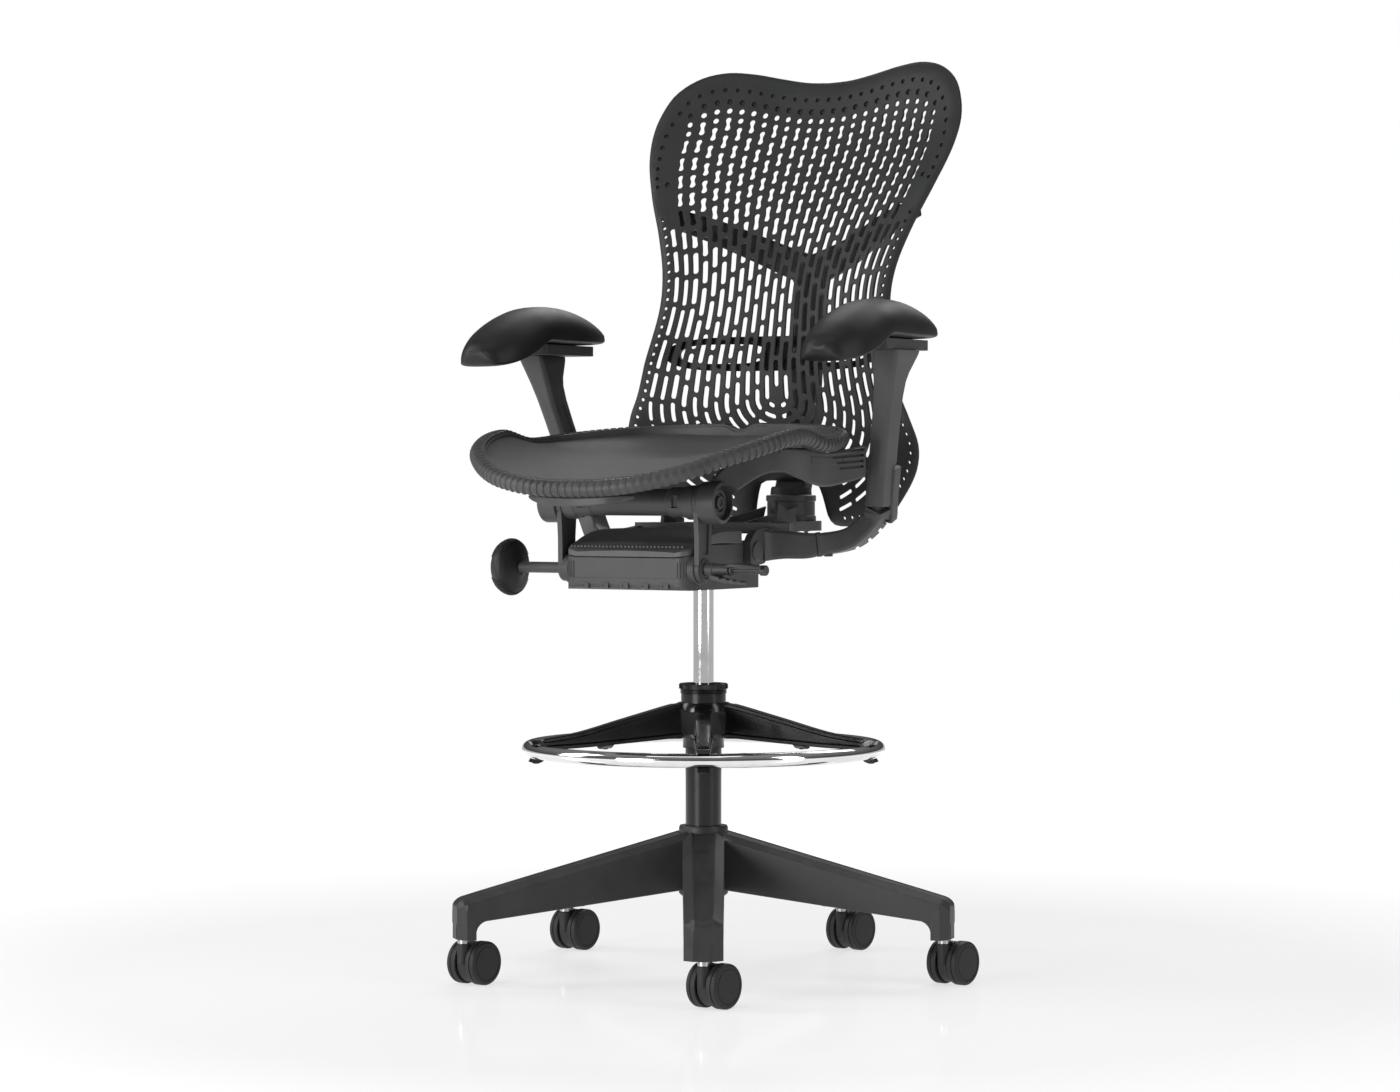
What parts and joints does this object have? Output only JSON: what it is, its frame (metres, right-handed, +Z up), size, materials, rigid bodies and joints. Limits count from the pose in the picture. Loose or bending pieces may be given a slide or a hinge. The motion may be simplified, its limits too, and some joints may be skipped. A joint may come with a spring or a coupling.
{
  "type": "drafting chair",
  "caption": "Tall swivel work chair with a perforated shell back, mesh seat, adjustable arms, reclining mechanism, gas lift, foot ring and castered star base.",
  "frame": {"origin": "centre of the footprint's bounding rectangle, on the floor; the swivel axis stands at x -14.3 mm, y -20.7 mm", "axes": "+Z up, the chair faces -Y, +X is the sitter's left"},
  "size_m": [0.7062, 0.7504, 1.286],
  "materials": {
    "graphite": "satin moulded graphite",
    "base_plastic": "satin moulded graphite",
    "back_plastic": "fine grained, matt",
    "cover_plastic": "ribbed, matt",
    "caster_plastic": "satin",
    "gloss_black": "gloss",
    "chrome": "polished",
    "steel": "turned",
    "soft_grip": "moulded, fine ribs",
    "pad_skin": "soft touch, matt",
    "seat_weave": "stretched open weave"
  },
  "bodies": {
    "base": {"star_base": "base_plastic", "column_tube": "gloss_black"},
    "caster_1": {"caster_1_stem": "steel", "caster_1_hood": "caster_plastic"},
    "caster_1_wheels": {"caster_1_axle": "steel", "caster_1_wheel_left": "caster_plastic", "caster_1_wheel_right": "caster_plastic"},
    "caster_2": {"caster_2_stem": "steel", "caster_2_hood": "caster_plastic"},
    "caster_2_wheels": {"caster_2_axle": "steel", "caster_2_wheel_left": "caster_plastic", "caster_2_wheel_right": "caster_plastic"},
    "caster_3": {"caster_3_stem": "steel", "caster_3_hood": "caster_plastic"},
    "caster_3_wheels": {"caster_3_axle": "steel", "caster_3_wheel_left": "caster_plastic", "caster_3_wheel_right": "caster_plastic"},
    "caster_4": {"caster_4_stem": "steel", "caster_4_hood": "caster_plastic"},
    "caster_4_wheels": {"caster_4_axle": "steel", "caster_4_wheel_left": "caster_plastic", "caster_4_wheel_right": "caster_plastic"},
    "caster_5": {"caster_5_stem": "steel", "caster_5_hood": "caster_plastic"},
    "caster_5_wheels": {"caster_5_axle": "steel", "caster_5_wheel_left": "caster_plastic", "caster_5_wheel_right": "caster_plastic"},
    "foot_ring_carrier": {"foot_ring": "chrome", "foot_ring_hub": "gloss_black"},
    "foot_ring_nut": {"foot_ring_collar": "gloss_black"},
    "lift": {"gas_rod": "chrome"},
    "lift_pin": {"gas_release_pin": "steel"},
    "turntable": {"tilt_housing": "graphite", "housing_cover": "cover_plastic"},
    "tension": {"tension_knob": "soft_grip", "tension_shaft": "steel"},
    "height_handle": {"height_lever": "graphite"},
    "tilt_handle": {"tilt_lever": "graphite"},
    "front_links": {"front_link_left": "graphite", "front_link_right": "graphite"},
    "seat": {"cross_tube": "graphite", "seat_rail_left": "graphite", "seat_rail_right": "graphite", "seat_frame": "graphite", "seat_mesh": "seat_weave"},
    "seat_handle": {"seat_paddle": "graphite"},
    "back": {"back_yoke": "graphite", "arm_bracket_left": "graphite", "arm_bracket_right": "graphite", "back_spine": "back_plastic", "back_shell": "back_plastic"},
    "lumbar": {"lumbar_band": "back_plastic"},
    "arm_left": {"arm_upright_left": "graphite"},
    "lock_left": {"arm_lock_left": "graphite"},
    "pad_left": {"arm_mount_left": "graphite", "arm_pad_left": "pad_skin"},
    "arm_right": {"arm_upright_right": "graphite"},
    "lock_right": {"arm_lock_right": "graphite"},
    "pad_right": {"arm_mount_right": "graphite", "arm_pad_right": "pad_skin"}
  },
  "joints": [
    {"name": "caster_1_swivel", "type": "hinge", "parent": "base", "child": "caster_1", "pos_m": [0.15724, -0.31771, 0.06], "axis": [0, 0, 1], "continuous": true},
    {"name": "caster_1_roll", "type": "hinge", "parent": "caster_1", "child": "caster_1_wheels", "pos_m": [0.16042, -0.29594, 0.03], "axis": [0.9895, -0.1444, 0], "continuous": true},
    {"name": "caster_2_swivel", "type": "hinge", "parent": "base", "child": "caster_2", "pos_m": [0.32125, 0.05065, 0.06], "axis": [0, 0, 1], "continuous": true},
    {"name": "caster_2_roll", "type": "hinge", "parent": "caster_2", "child": "caster_2_wheels", "pos_m": [0.32443, 0.07242, 0.03], "axis": [0.9895, -0.1444, 0], "continuous": true},
    {"name": "caster_3_swivel", "type": "hinge", "parent": "base", "child": "caster_3", "pos_m": [0.0216, 0.32046, 0.06], "axis": [0, 0, 1], "continuous": true},
    {"name": "caster_3_roll", "type": "hinge", "parent": "caster_3", "child": "caster_3_wheels", "pos_m": [0.02477, 0.34223, 0.03], "axis": [0.9895, -0.1444, 0], "continuous": true},
    {"name": "caster_4_swivel", "type": "hinge", "parent": "base", "child": "caster_4", "pos_m": [-0.3276, 0.11885, 0.06], "axis": [0, 0, 1], "continuous": true},
    {"name": "caster_4_roll", "type": "hinge", "parent": "caster_4", "child": "caster_4_wheels", "pos_m": [-0.32443, 0.14062, 0.03], "axis": [0.9895, -0.1444, 0], "continuous": true},
    {"name": "caster_5_swivel", "type": "hinge", "parent": "base", "child": "caster_5", "pos_m": [-0.24377, -0.27556, 0.06], "axis": [0, 0, 1], "continuous": true},
    {"name": "caster_5_roll", "type": "hinge", "parent": "caster_5", "child": "caster_5_wheels", "pos_m": [-0.24059, -0.25379, 0.03], "axis": [0.9895, -0.1444, 0], "continuous": true},
    {"name": "foot_ring_height", "type": "slide", "parent": "base", "child": "foot_ring_carrier", "axis": [0, 0, 1], "range_m": [-0.095, 0]},
    {"name": "foot_ring_nut_turn", "type": "hinge", "parent": "foot_ring_carrier", "child": "foot_ring_nut", "pos_m": [-0.01426, -0.02066, 0.398], "axis": [0, 0, 1], "range_deg": [0, 90]},
    {"name": "seat_height", "type": "slide", "parent": "base", "child": "lift", "axis": [0, 0, 1], "range_m": [-0.12, 0.08]},
    {"name": "seat_swivel", "type": "hinge", "parent": "lift", "child": "turntable", "pos_m": [-0.01426, -0.02066, 0.56], "axis": [0, 0, 1], "continuous": true},
    {"name": "release_pin_travel", "type": "slide", "parent": "lift", "child": "lift_pin", "axis": [0, 0, -1], "range_m": [0, 0.004]},
    {"name": "height_lever_twist", "type": "hinge", "parent": "turntable", "child": "height_handle", "pos_m": [0.13575, -0.20666, 0.568], "axis": [-1, 0, 0], "range_deg": [0, 15], "stiffness_Nm_per_rad": 1},
    {"name": "tilt_lever_twist", "type": "hinge", "parent": "turntable", "child": "tilt_handle", "pos_m": [0.11575, -0.20666, 0.568], "axis": [1, 0, 0], "range_deg": [0, 12], "stiffness_Nm_per_rad": 1},
    {"name": "tension_knob_turn", "type": "hinge", "parent": "turntable", "child": "tension", "pos_m": [-0.16426, -0.20666, 0.568], "axis": [-1, 0, 0], "continuous": true},
    {"name": "recline", "type": "hinge", "parent": "turntable", "child": "back", "pos_m": [-0.01426, -0.06566, 0.59], "axis": [-1, 0, 0], "range_deg": [0, 20], "stiffness_Nm_per_rad": 90, "springref_deg": -28.65},
    {"name": "front_link_swing", "type": "hinge", "parent": "turntable", "child": "front_links", "pos_m": [-0.01426, -0.20666, 0.568], "axis": [-1, 0, 0], "range_deg": [0, 17.5]},
    {"name": "seat_pitch", "type": "hinge", "parent": "front_links", "child": "seat", "pos_m": [-0.01426, -0.20666, 0.657], "axis": [-1, 0, 0], "range_deg": [-9.7, 0]},
    {"name": "seat_handle_pull", "type": "hinge", "parent": "seat", "child": "seat_handle", "pos_m": [-0.01426, -0.33866, 0.665], "axis": [1, 0, 0], "range_deg": [0, 12], "stiffness_Nm_per_rad": 0.8},
    {"name": "lumbar_height", "type": "slide", "parent": "back", "child": "lumbar", "axis": [0, 0.1867, 0.9824], "range_m": [0, 0.04]},
    {"name": "arm_left_height", "type": "slide", "parent": "back", "child": "arm_left", "axis": [0.2182, -0.2456, 0.9445], "range_m": [0, 0.08]},
    {"name": "arm_left_lock_flip", "type": "hinge", "parent": "arm_left", "child": "lock_left", "pos_m": [0.22811, 0.06782, 0.702], "axis": [1, 0, 0], "range_deg": [0, 30]},
    {"name": "arm_left_pad_turn", "type": "hinge", "parent": "arm_left", "child": "pad_left", "pos_m": [0.26175, 0.00734, 0.87], "axis": [0, 0, 1], "range_deg": [-15, 17]},
    {"name": "arm_right_height", "type": "slide", "parent": "back", "child": "arm_right", "axis": [-0.2182, -0.2456, 0.9445], "range_m": [0, 0.08]},
    {"name": "arm_right_lock_flip", "type": "hinge", "parent": "arm_right", "child": "lock_right", "pos_m": [-0.25662, 0.06782, 0.702], "axis": [1, 0, 0], "range_deg": [0, 30]},
    {"name": "arm_right_pad_turn", "type": "hinge", "parent": "arm_right", "child": "pad_right", "pos_m": [-0.29025, 0.00734, 0.87], "axis": [0, 0, -1], "range_deg": [-15, 17]}
  ],
  "couplings": [
    {"joint": "release_pin_travel", "follows": "height_lever_twist", "m_per_rad": 0.015},
    {"joint": "front_link_swing", "follows": "recline", "ratio": 0.8516},
    {"joint": "seat_pitch", "follows": "recline", "ratio": -0.4608}
  ]
}
